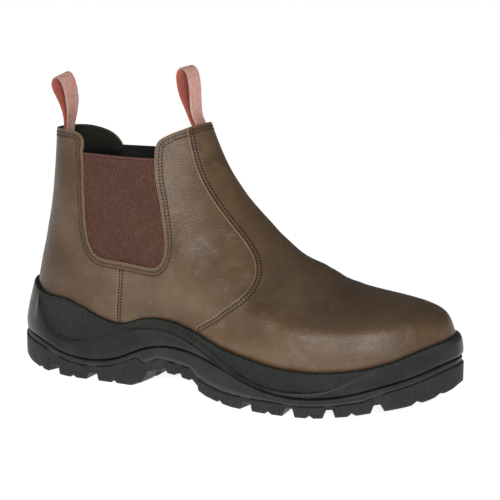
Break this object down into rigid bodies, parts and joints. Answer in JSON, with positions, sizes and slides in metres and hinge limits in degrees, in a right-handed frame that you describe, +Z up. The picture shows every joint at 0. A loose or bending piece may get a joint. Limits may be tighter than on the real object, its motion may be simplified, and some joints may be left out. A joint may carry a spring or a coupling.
{
  "type": "side gore work boot",
  "caption": "Right ankle-high work boot with leather upper, elastic side gores, front and rear pull loops and a lugged cup sole.",
  "frame": {"origin": "middle of the footprint's bounding box, on the ground plane under the lugs", "axes": "+X from heel to toe, +Y to the inner side of the foot, +Z up; the outer side faces -Y"},
  "size_m": [0.308, 0.11, 0.2049],
  "materials": {
    "leather": "oiled brown full grain leather",
    "elastic": "red-brown elastic webbing",
    "rubber": "matt black rubber",
    "midsole": "satin black moulded sole",
    "webbing": "heathered coral tape",
    "footbed": "dark felt footbed"
  },
  "bodies": {
    "root": {"outsole": "rubber", "midsole": "midsole", "insole": "footbed", "upper": "leather", "gore_outer_side": "elastic", "gore_inner_side": "elastic", "pull_loop_rear": "webbing", "pull_loop_front": "webbing"}
  },
  "joints": []
}
